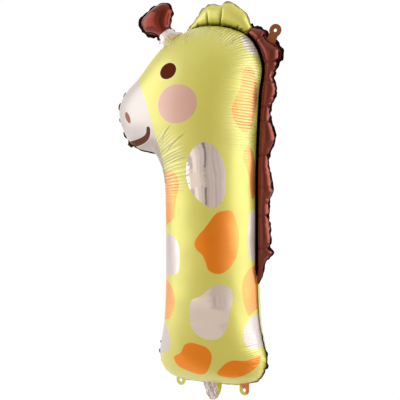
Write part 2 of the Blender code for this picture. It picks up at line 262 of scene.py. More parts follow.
def spline_matrix(knots, places):
    """The matrix that takes values at evenly spaced knots to a natural cubic spline's values at places."""
    count = len(knots)
    step = knots[1] - knots[0]
    bend = np.eye(count) * 4
    bend[np.arange(1, count), np.arange(count - 1)] = 1
    bend[np.arange(count - 1), np.arange(1, count)] = 1
    bend[0] = bend[-1] = 0
    bend[0, 0] = bend[-1, -1] = 1
    second = np.zeros((count, count))
    inner = np.arange(1, count - 1)
    second[inner, inner - 1] = second[inner, inner + 1] = 6 / step**2
    second[inner, inner] = -12 / step**2
    curvature = np.linalg.solve(bend, second)
    i = np.clip(((places - knots[0]) / step).astype(int), 0, count - 2)
    b = (places - knots[i]) / step
    a = 1 - b
    picks = np.zeros((len(places), count))
    picks[np.arange(len(places)), i] = a
    picks[np.arange(len(places)), i + 1] = b
    pull = step**2 / 6
    return picks + pull * ((a**3 - a)[:, None] * curvature[i] + (b**3 - b)[:, None] * curvature[i + 1])


def rows_for(seam, spacings, edge_step, rounding):
    """Places of rows whose spacing along a seam follows (share, spacing) pairs and closes up at both ends."""
    fine = np.linspace(0, len(seam) - 1, 6000)
    length = run_length(path_at(seam, fine))
    spacing = np.interp(length / length[-1], *np.array(spacings).T)
    from_end = np.minimum(length, length[-1] - length)
    spacing = np.minimum(spacing, edge_step * np.sqrt(2 * from_end / rounding) + 0.04)
    count = np.concatenate([[0], np.cumsum(np.diff(length) / ((spacing[1:] + spacing[:-1]) / 2))])
    return np.interp(np.linspace(0, count[-1], round(count[-1]) + 1), count, fine)


def blown_panel(left, right, places, columns, bows, fullness, knot_columns):
    """(flat points, heights) of a blown panel on a fine grid. The film's shape is solved on a coarse one."""
    knots = np.linspace(0, len(left) - 1, (len(left) - 1) * KNOTS_PER_SPAN + 1)
    lift = membrane(flat_panel(left, right, knots, knot_columns, bows))
    across_knots = np.linspace(0, 1, knot_columns + 1)
    lift = spline_matrix(knots, places) @ lift
    lift = lift @ spline_matrix(across_knots, np.linspace(0, 1, columns + 1)).T
    flat = flat_panel(left, right, places, columns, bows)
    return flat, fullness * np.sqrt(2 * np.maximum(lift, 0.0))


def noise(u, v, seed):
    """Smooth random values from -1 to 1 that change over one unit of u and of v."""
    table = np.random.default_rng(seed).uniform(-1, 1, (256, 256))
    i, j = np.floor(u).astype(int), np.floor(v).astype(int)
    s, t = u - i, v - j
    s, t = s * s * (3 - 2 * s), t * t * (3 - 2 * t)
    i, j = i % 255, j % 255
    low = table[i, j] * (1 - s) + table[i + 1, j] * s
    high = table[i, j + 1] * (1 - s) + table[i + 1, j + 1] * s
    return low * (1 - t) + high * t


def pleats(along, away, width, depth, reach, seed):
    """Gathers that run in from a seam: round ridges between sharp furrows, fading with distance from it."""
    wander = noise(along / (6 * width), away / (3 * reach), seed + 50) * 0.8
    wave = noise(along / width + wander, away / (2.2 * reach), seed)
    fade = np.exp(-((away / reach) ** 1.6)) * (1 - np.exp(-away / (0.12 * reach)))
    longer = 0.6 + 0.8 * (0.5 + 0.5 * noise(along / (2.3 * width), 0.0, seed + 90))
    return depth * (np.sqrt(np.abs(wave)) - 0.6) * fade ** (1 / longer)


def masked(share, table):
    """A strength read off (share, strength) pairs."""
    return np.interp(share, *np.array(table, float).T)


def grid_normals(points):
    """Unit normals of a grid of points, on its right-handed side."""
    down = np.gradient(points, axis=0)
    over = np.gradient(points, axis=1)
    normals = np.cross(over, down)
    return normals / np.maximum(np.linalg.norm(normals, axis=-1, keepdims=True), 1e-12)


def edge_ring(rows, columns):
    """(row, column) of each place round a grid's edge, in order."""
    ring = [(0, j) for j in range(columns)]
    ring += [(i, columns) for i in range(rows)]
    ring += [(rows, j) for j in range(columns, 0, -1)]
    return ring + [(i, 0) for i in range(rows, 0, -1)]


def right_hand(ways):
    """Unit vectors at right angles to these (x, z) ways, on their right hand."""
    out = np.stack([ways[..., 1], -ways[..., 0]], axis=-1)
    return out / np.linalg.norm(out, axis=-1, keepdims=True)


def outward(loop):
    """Unit vectors that point out of a closed loop of (x, z) points, smoothed over near neighbours."""
    return right_hand(np.roll(loop, -2, axis=0) - np.roll(loop, 2, axis=0))


def film_object(name, mesh, finish, sharp_angle):
    """The object of a bmesh, which is freed. Its points are in millimetres from the foot's seam."""
    data = bpy.data.meshes.new(name)
    mesh.to_mesh(data)
    mesh.free()
    data.transform(Matrix.Translation((PATTERN_ORIGIN[0], 0.0, PATTERN_ORIGIN[1])) @ Matrix.Scale(MM, 4))
    data.materials.append(finish)
    data.shade_smooth()
    data.set_sharp_from_angle(angle=math.radians(sharp_angle))
    made = bpy.data.objects.new(name, data)
    bpy.context.scene.collection.objects.link(made)
    return made


def pillow(name, flat, sides, fin, finish, marks):
    """Two blown panels and the flat fin round them, as one closed mesh.

    sides are the points of the front and back panels, and fin the (widths, mid heights) of the fin's outer
    edge at the places round the panel. marks are named numbers on the grid.
    """
    rows, columns = flat.shape[0] - 1, flat.shape[1] - 1
    ring = edge_ring(rows, columns)
    loop = np.array([flat[place] for place in ring])
    out = outward(loop)
    outer = {place: loop[k] + out[k] * fin[0][k] for k, place in enumerate(ring)}
    middle = {place: fin[1][k] for k, place in enumerate(ring)}
    whole = bmesh.new()
    for side, points in zip((-1, 1), sides):
        mesh = bmesh.new()
        layers = {mark: mesh.verts.layers.float.new(mark) for mark in (*marks, "fin")}
        bmesh.ops.create_grid(mesh, x_segments=columns, y_segments=rows, size=0.5)
        places = {}
        for vertex in mesh.verts:
            place = round((vertex.co.y + 0.5) * rows), round((vertex.co.x + 0.5) * columns)
            vertex.co = points[place]
            for mark, values in marks.items():
                vertex[layers[mark]] = values[place]
            places[tuple(vertex.co)] = place
        rim = [edge for edge in mesh.edges if edge.is_boundary]
        grown = bmesh.ops.extrude_edge_only(mesh, edges=rim)["geom"]
        for vertex in (part for part in grown if isinstance(part, bmesh.types.BMVert)):
            place = places[tuple(vertex.co)]
            x, z = outer[place]
            vertex.co = (x, middle[place], z)
            vertex[layers["fin"]] = 1.0
        if side > 0:
            bmesh.ops.reverse_faces(mesh, faces=mesh.faces)
        panel = bpy.data.meshes.new(name)
        mesh.to_mesh(panel)
        mesh.free()
        whole.from_mesh(panel)
        bpy.data.meshes.remove(panel)
    bmesh.ops.remove_doubles(whole, verts=whole.verts, dist=0.00001)
    return film_object(name, whole, finish, sharp_angle=70)


def blown_points(flat, height, side, shift, middle, bumps):
    """A panel's points in the row frame's axes: side is -1 in front, and bumps push out along the normals."""
    points = np.stack([flat[..., 0], side * (height + SEAM_HALF), flat[..., 1]], axis=-1)
    normals = grid_normals(points)
    normals *= side * np.sign(normals[..., 1].mean())
    points = points + normals * bumps[..., None]
    points[..., 0] += shift[..., 0]
    points[..., 2] += shift[..., 1]
    points[..., 1] += middle
    return points


def closed_path(points, steps=8):
    """A smooth closed line through these points."""
    padded = [points[-1], *points, points[0], points[1]]
    return path_at(padded, np.linspace(1, len(points) + 1, len(points) * steps, endpoint=False))


def nearest_on_line(spots, line):
    """(distance, place counted in points) of the nearest spot on a line, for each spot."""
    a, way = line[:-1], np.diff(line, axis=0)
    distance, place = [], []
    for part in np.array_split(spots, 40):
        offset = part[:, None] - a
        t = np.clip((offset * way).sum(-1) / (way**2).sum(-1), 0, 1)
        apart = np.linalg.norm(offset - t[..., None] * way, axis=-1)
        nearest = apart.argmin(axis=1)
        distance.append(apart.min(axis=1))
        place.append(nearest + t[np.arange(len(part)), nearest])
    return np.concatenate(distance), np.concatenate(place)


def depth_inside(spots, outline, reach=30.0):
    """How far inside a closed outline each spot is. Outside it is negative, down to -reach."""
    line = np.concatenate([outline, outline[:1]])
    depth = np.full(len(spots), -reach)
    near = np.all((spots > line.min(0) - reach) & (spots < line.max(0) + reach), axis=1)
    found = spots[near]
    a, b = line[:-1], line[1:]
    above = (a[:, 1] > found[:, None, 1]) != (b[:, 1] > found[:, None, 1])
    rise = np.where(b[:, 1] == a[:, 1], 1.0, b[:, 1] - a[:, 1])
    crossing = a[:, 0] + (found[:, None, 1] - a[:, 1]) * (b[:, 0] - a[:, 0]) / rise
    inside = (above & (found[:, None, 0] < crossing)).sum(axis=1) % 2 == 1
    depth[near] = np.clip(np.where(inside, 1, -1) * nearest_on_line(found, line)[0], -reach, reach)
    return depth


def ellipse(centre, half_sizes, tilt):
    """A closed outline: an ellipse turned anticlockwise by tilt degrees."""
    angles = np.linspace(0, 2 * math.pi, 48, endpoint=False)
    c, s = math.cos(math.radians(tilt)), math.sin(math.radians(tilt))
    x, z = half_sizes[0] * np.cos(angles), half_sizes[1] * np.sin(angles)
    return np.stack([centre[0] + x * c - z * s, centre[1] + x * s + z * c], axis=1)


def points_of(made):
    """A mesh's points, in millimetres in the row frame."""
    points = np.empty(len(made.data.vertices) * 3, np.float32)
    made.data.vertices.foreach_get("co", points)
    return points.reshape(-1, 3).astype(float) / MM


def give_marks(made, marks):
    """Stores each named set of numbers as a vertex attribute."""
    for name, values in marks.items():
        layer = made.data.attributes.new(name, "FLOAT", "POINT")
        layer.data.foreach_set("value", values.astype(np.float32))


def edge_runs(flat, height):
    """Lengths along a panel's left, right, first and last edges, and lengths over the film from each."""
    surface = np.stack([flat[..., 0], height, flat[..., 1]], axis=-1)
    over, down = run_length(surface.swapaxes(0, 1)).T, run_length(surface)
    along = (
        run_length(flat[:, 0])[:, None], run_length(flat[:, -1])[:, None], run_length(flat[0])[None],
        run_length(flat[-1])[None],
    )
    return along, (over, over[:, -1:] - over, down, down[-1:] - down)


left_seam, right_seam = body_outline()
body_rows = rows_for(
    right_seam, ((0, 1.8), (0.09, 2.4), (0.14, 6), (0.38, 6), (0.43, 1.6), (1, 1.35)),
    edge_step=1.2, rounding=60,
)
flat, height = blown_panel(
    left_seam, right_seam, body_rows, BODY_COLUMNS, (FOOT_SAG, MUZZLE_ROUNDING), FULLNESS, BODY_KNOT_COLUMNS
)
body_along, (from_left, from_right, from_foot, from_tip) = edge_runs(flat, height)
left_length, right_length, foot_length, tip_length = body_along
# Its puckered edge keeps the muzzle's film from rising as steeply as elsewhere.
muzzle_share = masked(body_rows, ((14, 0), (15.5, 1), (18, 1)))[:, None]
from_seam = np.minimum(np.minimum(from_left, from_right), from_tip)
height = height * (1 - 0.5 * muzzle_share * np.exp(-from_seam / 22.0))
# How strongly the film gathers along the nape's seam and the throat's, and where folds fan from the chin.
nape_gathers = masked(body_rows, (
    (0, 0.8), (1, 1), (3, 0.6), (4.5, 0), (7.5, 0), (8.3, 0.3), (9, 0.8), (11, 0.9), (12, 1.1), (14, 0.9),
    (16, 0.9), (17, 0.6), (18, 0.5),
))[:, None]
throat_gathers = masked(
    body_rows, ((0, 0.8), (1, 1), (3, 0.6), (4.5, 0), (6.5, 0), (7.5, 0.2), (11, 0.2), (12.5, 0.5), (18, 0.6))
)[:, None]
chin_fan = masked(body_rows, ((6.3, 0), (7.2, 0.6), (8, 1), (10, 1), (11.3, 0.5), (12, 0)))[:, None]
lobe_band = masked(body_rows, ((4.2, 0), (4.3, 1), (15.6, 1), (15.8, 0)))


def body_bumps(seed):
    """How far the body's film stands off its smooth shape: gathers at the seams and folds from the chin."""
    bumps = 0
    for width, depth, reach in ((9.0, 0.6, 60.0), (22.0, 1.6, 90.0)):
        bumps = bumps + nape_gathers * pleats(right_length, from_right, width, depth, reach, seed)
        bumps = bumps + throat_gathers * pleats(left_length, from_left, width, depth, reach, seed + 1)
        bumps = bumps + 0.6 * pleats(tip_length, from_tip, width, depth, reach, seed + 2)
        bumps = bumps + 0.25 * pleats(foot_length, from_foot, width, depth, reach, seed + 3)
        seed += 10
    return bumps + chin_fan * pleats(left_length, from_left, 9.0, 1.2, 110.0, seed + 5)


def seam_scallops(seed):
    """(in-plane shift, mid height) of the film near the seams, where its edge puckers."""
    shift = np.zeros((*flat.shape[:2], 2))
    middle = np.zeros(flat.shape[:2])
    nape_strength = nape_gathers * (1 - 0.85 * lobe_band[:, None])
    for seam, length, away, strength, sign in (
        (flat[:, -1], right_length, from_right, nape_strength, 1),
        (flat[:, 0], left_length, from_left, throat_gathers, -1),
    ):
        way = sign * right_hand(np.gradient(seam, axis=0))
        pucker = np.sqrt(np.abs(noise(length / 13.0, 0.0, seed))) - 0.6
        shift += way[:, None] * (strength * pucker * 2.2 * np.exp(-away / 12.0))[..., None]
        middle += strength * 0.8 * noise(length / 15.0, 0.0, seed + 7) * np.exp(-away / 14.0)
    return shift, middle


body_shift, body_middle = seam_scallops(300)
sides = [
    blown_points(flat, height, side, body_shift, body_middle, body_bumps(seed))
    for side, seed in ((-1, 11), (1, 411))
]
ring = edge_ring(len(body_rows) - 1, BODY_COLUMNS)
ring_points = np.array([(flat + body_shift)[place] for place in ring])
ring_length = run_length(ring_points)
BAND_WIDTH = 3.4
# Where the fin stands out in a dark cusp: its place in the row frame, its extra width and its half length.
CUSPS = (
    ((-360, -109), 4.0, 7), ((-379, -122), 5.5, 8), ((-394, -147), 7.5, 10), ((-390, -178), 5.5, 6),
    ((-377, -212), 5.5, 10), ((-360, -233), 7.5, 8), ((-287, -692), 5.0, 4), ((-282, -714), 5.0, 5),
    ((-277, -737), 5.0, 4), ((28, -690), 2.8, 5), ((34, -735), 3.8, 6),
)
fin_width = 4.0 + 0.9 * noise(ring_length / 9.0, 0.0, 520)
for cusp, extra, long in CUSPS:
    tip = np.linalg.norm(ring_points + PATTERN_ORIGIN / MM - cusp, axis=1).argmin()
    fin_width = fin_width + extra * np.exp(-(((ring_length - ring_length[tip]) / long) ** 4))
fin_width = np.array([
    BAND_WIDTH if j == BODY_COLUMNS and lobe_band[i] > 0.5 else width
    for (i, j), width in zip(ring, fin_width)
])
ring_gathers = np.array([
    nape_gathers[i, 0] if j == BODY_COLUMNS else throat_gathers[i, 0] if j == 0 else 0.4 for i, j in ring
])
fin_middle = np.array([body_middle[place] for place in ring])
curl = np.where(fin_width == BAND_WIDTH, 0.0, ring_gathers * 2.0)
fin_middle = fin_middle + curl * noise(ring_length / 11.0, 0.0, 530)


def new_film(name):
    """A new film material and its node tree."""
    made = bpy.data.materials.new(name)
    made.use_nodes = True
    return made, made.node_tree


body_film = new_film("printed_foil")[0]
body = pillow("body", flat + body_shift, sides, (fin_width, fin_middle), body_film, {})

# Fine gathers cross the seam at right angles. Places are counted in spans round it: 0 to 5 down the throat's
# straight, 5 to 6 along the foot, 6 to 24 up the nape to the muzzle, 24 to 25 round its tip, then to 38 back.
# Each row is a place, the gathers' spacing, where they start, how far they reach, and their strength.
GATHERS = (
    (0, 6.0, 0, 16, 0.0), (2.5, 6.0, 0, 16, 0.6), (4, 5.0, 0, 20, 1.0), (5, 5.5, 0, 18, 0.8),
    (5.1, 6.0, 0, 10, 0.35), (5.9, 6.0, 0, 10, 0.35), (6, 5.5, 0, 18, 0.7), (7, 5.0, 0, 22, 0.8),
    (8.5, 5.0, 0, 24, 0.7), (10.5, 6.0, 0, 18, 0.0), (13.5, 6.2, 0, 24, 0.0), (14.4, 6.2, 0, 28, 0.7),
    (15, 6.2, 0, 36, 1.2), (16.5, 6.2, 0, 36, 1.2), (17.5, 7.5, 0, 34, 2.2), (18, 7.5, 0, 38, 3.0),
    (19.4, 7.5, 0, 36, 3.4), (20.6, 7.5, 0, 34, 3.6), (21.5, 7.5, 0, 30, 3.0), (23, 6.0, 0, 20, 0.8),
    (24, 6.0, 0, 10, 0.5), (25, 6.0, 0, 10, 0.5), (30, 6.0, 0, 12, 0.4), (31.4, 3.0, 4, 16, 0.3),
    (32.2, 2.2, 6, 30, 0.3), (32.6, 3.0, 8, 60, 1.0), (33.1, 3.2, 8, 110, 3.0), (34, 3.8, 8, 110, 3.4),
    (35, 6.0, 10, 95, 2.8), (35.7, 6.0, 12, 60, 1.4), (36.3, 5.0, 12, 50, 0.0), (38, 6.0, 0, 16, 0.0),
)
GATHER_END = 108.0
GATHER_FADE = 25.0
# (place, how far from the seals the painted shade reaches, in the valley beside the lobes' weld).
WELD_SHADE_REACH = ((0, -9), (11.1, -9), (11.4, 9), (18.4, 9), (18.7, 12), (20.3, 12), (20.5, -9), (38, -9))


def seam_round():
    """Points round the body's seam and each one's place, in spans."""
    runs = (
        (path_at(left_seam, np.linspace(5, 0, 150)), 0, 5), (flat[0], 5, 6),
        (path_at(right_seam, np.linspace(0, 18, 700)), 6, 24), (flat[-1, ::-1], 24, 25),
        (path_at(left_seam, np.linspace(18, 5, 400)), 25, 38),
    )
    points = np.concatenate([line[:-1] for line, _, _ in runs])
    places = np.concatenate([np.linspace(start, end, len(line))[:-1] for line, start, end in runs])
    return points, places


round_points, round_places = seam_round()
gather_rows = np.array(GATHERS, float)
round_spacing = np.interp(round_places, gather_rows[:, 0], gather_rows[:, 1])
round_steps = np.linalg.norm(np.diff(round_points, axis=0, prepend=round_points[:1]), axis=1)
round_count = np.cumsum(round_steps / round_spacing)


def gather_fields(spots):
    """For each flat spot: gathers counted along the seam, run over reach, strength and the painted weld
    shade's reach.
    """
    apart, nearest = nearest_on_line(spots, round_points)
    index = np.arange(len(round_points))
    place = np.interp(nearest, index, round_places)
    start, reach, strength = (np.interp(place, gather_rows[:, 0], gather_rows[:, k]) for k in (2, 3, 4))
    begun = np.where(start > 0, np.clip((apart - start * 0.5) / np.maximum(start, 1e-6), 0, 1), 1.0)
    ended = np.clip((GATHER_END - apart) / GATHER_FADE, 0, 1)
    count = np.interp(nearest, index, round_count)
    return count, apart / reach, strength * begun * ended, masked(place, WELD_SHADE_REACH)


# Long sharp folds of the film at the chin, jaw and crown, in the row frame.
FOLDS = (
    ((-189, -204), (-205, -217), (-218, -233), (-226, -250)),
    ((-153, -223), (-175, -235), (-197, -252), (-220, -272)),
    ((-155, -274), (-180, -281), (-212, -291)), ((-257, -229), (-253, -240), (-247, -252), (-235, -267)),
    ((-291, -249), (-266, -258), (-240, -270)), ((-192, -6), (-180, -18), (-169, -33)),
    ((-76, -12), (-77, -24), (-80, -37)),
)
FOLD_HALF_WIDTH = 2.0
FOLD_STEPS = 29


def fold_depth(spots):
    """How far inside a long fold each spot is, in millimetres. The folds taper at their ends."""
    depth = np.full(len(spots), -10.0)
    for fold in FOLDS:
        line = path_at(fold, np.linspace(0, len(fold) - 1, FOLD_STEPS + 1))
        apart, nearest = nearest_on_line(spots, line)
        share = nearest / FOLD_STEPS
        taper = np.minimum(1, 4 * np.minimum(share, 1 - share))
        depth = np.maximum(depth, FOLD_HALF_WIDTH * taper - apart)
    return depth


# Where the print changes on the body, each outline in millimetres in the row frame.
SILVER_SPOTS = (
    ((-70, -10), (-56, -16), (-36, -36), (-37, -54), (-50, -46), (-59, -32)),
    ((-119, -245), (-141, -256), (-157, -282), (-162, -312), (-156, -340), (-140, -363), (-108, -385.5),
     (-93, -380), (-84, -360), (-81, -329), (-82, -300), (-89, -274), (-101, -253)),
    ((-262, -442), (-225, -443.5), (-203, -445.5), (-188, -461), (-184, -486), (-186, -518), (-195, -529),
     (-225, -533), (-262, -535)),
    ((-32, -379), (-46, -391.5), (-49, -421), (-49.5, -450), (-49, -475), (-46, -498), (-32, -507)),
    ((-86, -548), (-102, -549), (-118, -560), (-135, -574), (-152, -581), (-158, -599), (-158, -625),
     (-150, -648), (-133, -661), (-111, -665.5), (-92, -659), (-80, -638), (-75, -606), (-70.5, -578),
     (-73, -559)),
    ((-30, -612), (-45, -622), (-51, -640), (-52.7, -658), (-48, -678), (-40, -688), (-28, -686)),
    ((-268, -630), (-240, -640), (-222, -660), (-216.5, -682), (-226, -699), (-244, -709), (-268, -712)),
)
ORANGE_SPOTS = (
    ((-43.4, -80), (-35, -93), (-36.5, -140), (-40, -183), (-44.5, -214), (-51, -225), (-60, -212),
     (-67.5, -191), (-69, -173), (-63, -151), (-58, -137), (-53.5, -112), (-51.5, -93)),
    ((-48.4, -248), (-52, -258), (-54.3, -277), (-51, -297), (-48.4, -317), (-47, -352), (-45.5, -367),
     (-43.5, -352), (-43, -302), (-44.5, -259)),
    ((-262, -300), (-218, -305), (-200, -304.5), (-187.5, -314), (-182, -335), (-187, -352), (-193, -367),
     (-198, -393), (-200.5, -406), (-212, -415), (-227, -420), (-262, -432)),
    ((-145.3, -460), (-137, -444), (-124, -430), (-111, -412), (-99, -396), (-87, -391), (-72.5, -391),
     (-66.5, -408), (-61.7, -438), (-62, -466), (-66, -491), (-75.5, -512), (-89, -523.5), (-104, -523.5),
     (-116, -515), (-121, -499), (-128.5, -484), (-140.5, -473)),
    ((-32, -504), (-46, -512), (-52, -525), (-56, -541), (-57, -560), (-54.5, -584), (-50.5, -608),
     (-46.5, -618), (-42, -608), (-37, -592), (-32, -572)),
    ((-264, -537), (-233, -544), (-210.5, -556), (-199, -578), (-201.5, -603), (-211, -622), (-223, -629),
     (-264, -634)),
    ((-210.5, -712), (-189, -700), (-175.5, -681), (-159.5, -674.5), (-139.5, -677), (-122, -683.5),
     (-114, -697), (-118, -717), (-135, -741.5), (-152, -748.5), (-176, -743.5), (-200, -735),
     (-209, -724.5)),
    ((-111.5, -743.5), (-99, -728), (-84, -715), (-70, -710), (-48.5, -712), (-35.5, -707.5), (-27, -704),
     (-27, -717), (-35, -730), (-50.5, -742), (-74, -751), (-95, -750.5)),
)
MUZZLE_EDGE = (
    (-330, -40), (-293, -106), (-262.5, -148), (-246, -196), (-237.5, -237), (-231, -273), (-228, -330),
    (-430, -330), (-430, -40),
)
CHEEK = ellipse((-180, -162), (46.7, 42), 0)
EYE = ellipse((-207.5, -88.5), (18.6, 21.4), 84)
NOSTRIL = ellipse((-326.5, -181.5), (7.8, 15.2), 35)
SMILE = ((-260, -212), (-262.6, -221), (-272, -228.5), (-287, -233), (-306, -236), (-328, -238), (-350, -238))
SMILE_HALF_WIDTH = 6.2


def deepest(spots, outlines):
    """How far inside the nearest of several closed outlines each spot is."""
    return np.max([depth_inside(spots, closed_path(outline)) for outline in outlines], axis=0)


body_points = points_of(body)
body_spots = body_points[:, (0, 2)]
count, run, strength, weld_shade_reach = gather_fields(body_spots - PATTERN_ORIGIN / MM)
# The low orange spot beside the nape is on the front sheet only.
behind = (body_points[:, 0] > -65) & (body_points[:, 1] > 0)
behind &= (body_points[:, 2] < -500) & (body_points[:, 2] > -625)
smile_line = path_at(SMILE, np.linspace(0, len(SMILE) - 1, 40))
give_marks(body, {
    "silver": deepest(body_spots, SILVER_SPOTS),
    "orange": np.where(behind, -10, deepest(body_spots, ORANGE_SPOTS)),
    "muzzle": depth_inside(body_spots, np.array(MUZZLE_EDGE, float), 60.0),
    "cheek": depth_inside(body_spots, CHEEK),
    "eye": depth_inside(body_spots, EYE),
    "nostril": depth_inside(body_spots, NOSTRIL),
    "smile": np.maximum(SMILE_HALF_WIDTH - nearest_on_line(body_spots, smile_line)[0], -30.0),
    "fold": fold_depth(body_spots),
    "gather_count": count,
    "gather_run": run,
    "gather_strength": strength,
    "weld_shade": weld_shade_reach - np.abs(body_points[:, 1]),
})


def attribute(tree, name):
    """The output of a vertex attribute."""
    return node(tree, "ShaderNodeAttribute", attribute_name=name).outputs["Fac"]


def fin_share(tree):
    """How far a point is past the seam and onto the fin, from 0 to 1."""
    return ramp(tree, attribute(tree, "fin"), 0.05, 0.3)


def object_axes(tree):
    """The outputs X, Y and Z of the object coordinates, in metres."""
    place = node(tree, "ShaderNodeTexCoord").outputs["Object"]
    return node(tree, "ShaderNodeSeparateXYZ", {0: place}).outputs


def object_noise(tree, scale, detail=2.0, stretch=(1.0, 1.0, 1.0)):
    """Noise in object coordinates."""
    place = node(tree, "ShaderNodeTexCoord").outputs["Object"]
    place = node(tree, "ShaderNodeMapping", {"Vector": place, "Scale": stretch}).outputs[0]
    return node(tree, "ShaderNodeTexNoise", {0: place, "Scale": scale, "Detail": detail}).outputs["Fac"]


def ramp(tree, value, low, high, start=0.0, end=1.0):
    """The value taken from one range to another, and held at its ends."""
    return node(tree, "ShaderNodeMapRange", {0: value, 1: low, 2: high, 3: start, 4: end}).outputs[0]


def put(tree, socket, value):
    """Links an output to an input, or sets the input to a number or a colour."""
    if isinstance(value, bpy.types.NodeSocket):
        tree.links.new(value, socket)
    else:
        socket.default_value = (*value, 1.0) if isinstance(value, tuple) else value


def mixed(tree, share, first, second):
    """A colour or number between two, by a share. First and second are outputs or values."""
    coloured = isinstance(first, tuple) or getattr(first, "type", "") == "RGBA"
    made = node(tree, "ShaderNodeMix", data_type="RGBA" if coloured else "FLOAT")
    for place, value in zip((0, 6, 7) if coloured else (0, 2, 3), (share, first, second)):
        put(tree, made.inputs[place], value)
    return made.outputs[2 if coloured else 0]


def math_node(tree, operation, first, second=0.0):
    """The result of a Math node."""
    return node(tree, "ShaderNodeMath", {0: first, 1: second}, operation=operation).outputs[0]


def times(tree, first, second):
    """The product of two numbers."""
    return math_node(tree, "MULTIPLY", first, second)


def plus(tree, first, second):
    """The sum of two numbers."""
    return math_node(tree, "ADD", first, second)


def less(tree, first, second):
    """The first number less the second."""
    return math_node(tree, "SUBTRACT", first, second)


def larger(tree, first, second):
    """The larger of two numbers."""
    return math_node(tree, "MAXIMUM", first, second)


def ridges(tree, count, run, strength):
    """Rounded ridges and the sharp furrows between them, each of its own length, from counted gathers."""
    place = plus(tree, count, less(tree, object_noise(tree, 14.0, 1.0), 0.5))
    lie = node(tree, "ShaderNodeCombineXYZ", {"X": count, "Y": times(tree, run, 0.8)}).outputs[0]
    varied = node(tree, "ShaderNodeTexNoise", {"Vector": lie, "Scale": 0.9, "Detail": 1.0}).outputs["Fac"]
    length = ramp(tree, varied, 0.3, 0.7, 0.55, 1.25)
    fade = math_node(tree, "POWER", math_node(tree, "DIVIDE", run, length), 2.5)
    fade = math_node(tree, "EXPONENT", times(tree, fade, -1.0))
    ridge = math_node(tree, "ABSOLUTE", math_node(tree, "SINE", times(tree, place, math.pi)))
    size = times(tree, ramp(tree, varied, 0.3, 0.7, 0.4, 1.0), times(tree, fade, strength))
    furrow = math_node(tree, "POWER", less(tree, 1.0, ridge), 2.0)
    return times(tree, ridge, size), times(tree, furrow, size)


def film_shader(tree, colour, roughness, metallic, relief, coat=0.4, coat_roughness=0.25, coat_ior=1.6):
    """Sets up a film's shader. Relief is (height output, distance in metres)."""
    shader = tree.nodes["Principled BSDF"]
    for name, value in (
        ("Base Color", colour), ("Roughness", roughness), ("Metallic", metallic), ("Coat Weight", coat),
        ("Coat Roughness", coat_roughness), ("Coat IOR", coat_ior), ("Specular IOR Level", 0.0),
    ):
        put(tree, shader.inputs[name], value)
    height, distance = relief
    bump = node(tree, "ShaderNodeBump", {"Height": height, "Distance": distance, "Strength": 1.0})
    tree.links.new(bump.outputs["Normal"], shader.inputs["Normal"])


YELLOW = (0.635, 0.61, 0.056)
YELLOW_PALE = (0.65, 0.635, 0.07)
SILVER = (0.86, 0.80, 0.78)
SILVER_DULL = (0.62, 0.56, 0.56)
SILVER_DULL_PAINTED_LIGHT = (0.69, 0.63, 0.62)
ORANGE = (0.87, 0.255, 0.004)
ORANGE_PAINTED_HIGHLIGHT = (0.88, 0.40, 0.12)
MUZZLE_PALE = (0.58, 0.53, 0.52)
JAW_SHADE = (0.36, 0.27, 0.24)
CHEEK_PINK = (0.62, 0.35, 0.28)
FACE_OUTLINE = (0.72, 0.62, 0.42)
NOSTRIL_BROWN = (0.34, 0.17, 0.145)
SMILE_BROWN = (0.13, 0.055, 0.038)
EYE_BROWN = (0.10, 0.022, 0.010)
RIDGE_PAINTED_HIGHLIGHT = (0.95, 0.95, 0.60)
CREASE_SHADE = (0.40, 0.36, 0.20)
FIN_DARK = (0.035, 0.028, 0.014)
FIN_OLIVE = (0.30, 0.28, 0.05)
FIN_ORANGE = (0.45, 0.13, 0.02)
WELD_PAINTED_SHADE = (0.012, 0.006, 0.004)
# Half the width over which one ink gives way to another, in millimetres.
EDGE = 0.3
# Where the look changes over the body: a change begins at the first of each pair and is whole at the second,
# in metres of the row frame. The first five are along X, and the rest along Z.
RIGHT_EDGE = (-0.098, -0.05)
LEFT_EDGE = (-0.168, -0.2)
SILVER_PAINTED_LIGHT_SIDE = (-0.15, -0.1)
JAW_SIDE = (-0.35, -0.32)
ORANGE_FOOT = (-0.085, -0.07)
ORANGE_HIGHLIGHT_RISE = (-0.70, -0.66)
JAW_TOP = (-0.222, -0.24)
STRAIGHT_FOOT = (-0.67, -0.65)
STRAIGHT_TOP = (-0.30, -0.32)
FOOT_TOP = (-0.757, -0.750)
tree = body_film.node_tree
depths = {
    mark: attribute(tree, mark) for mark in ("silver", "orange", "muzzle", "cheek", "eye", "nostril", "smile")
}
printed = {mark: ramp(tree, depth, -EDGE, EDGE) for mark, depth in depths.items()}
drawn = larger(tree, larger(tree, printed["eye"], printed["smile"]), printed["nostril"])
outline = larger(tree, larger(tree, depths["eye"], depths["smile"]), depths["nostril"])
axes = object_axes(tree)
x, z = axes["X"], axes["Z"]
by_seam = larger(tree, ramp(tree, x, *RIGHT_EDGE), ramp(tree, x, *LEFT_EDGE))
# Painted light: on the right, beside the mane, the dull silver is a lighter copy of itself.
dull_silver_painted_light = mixed(tree, ramp(tree, x, *SILVER_PAINTED_LIGHT_SIDE), SILVER_DULL, SILVER_DULL_PAINTED_LIGHT)
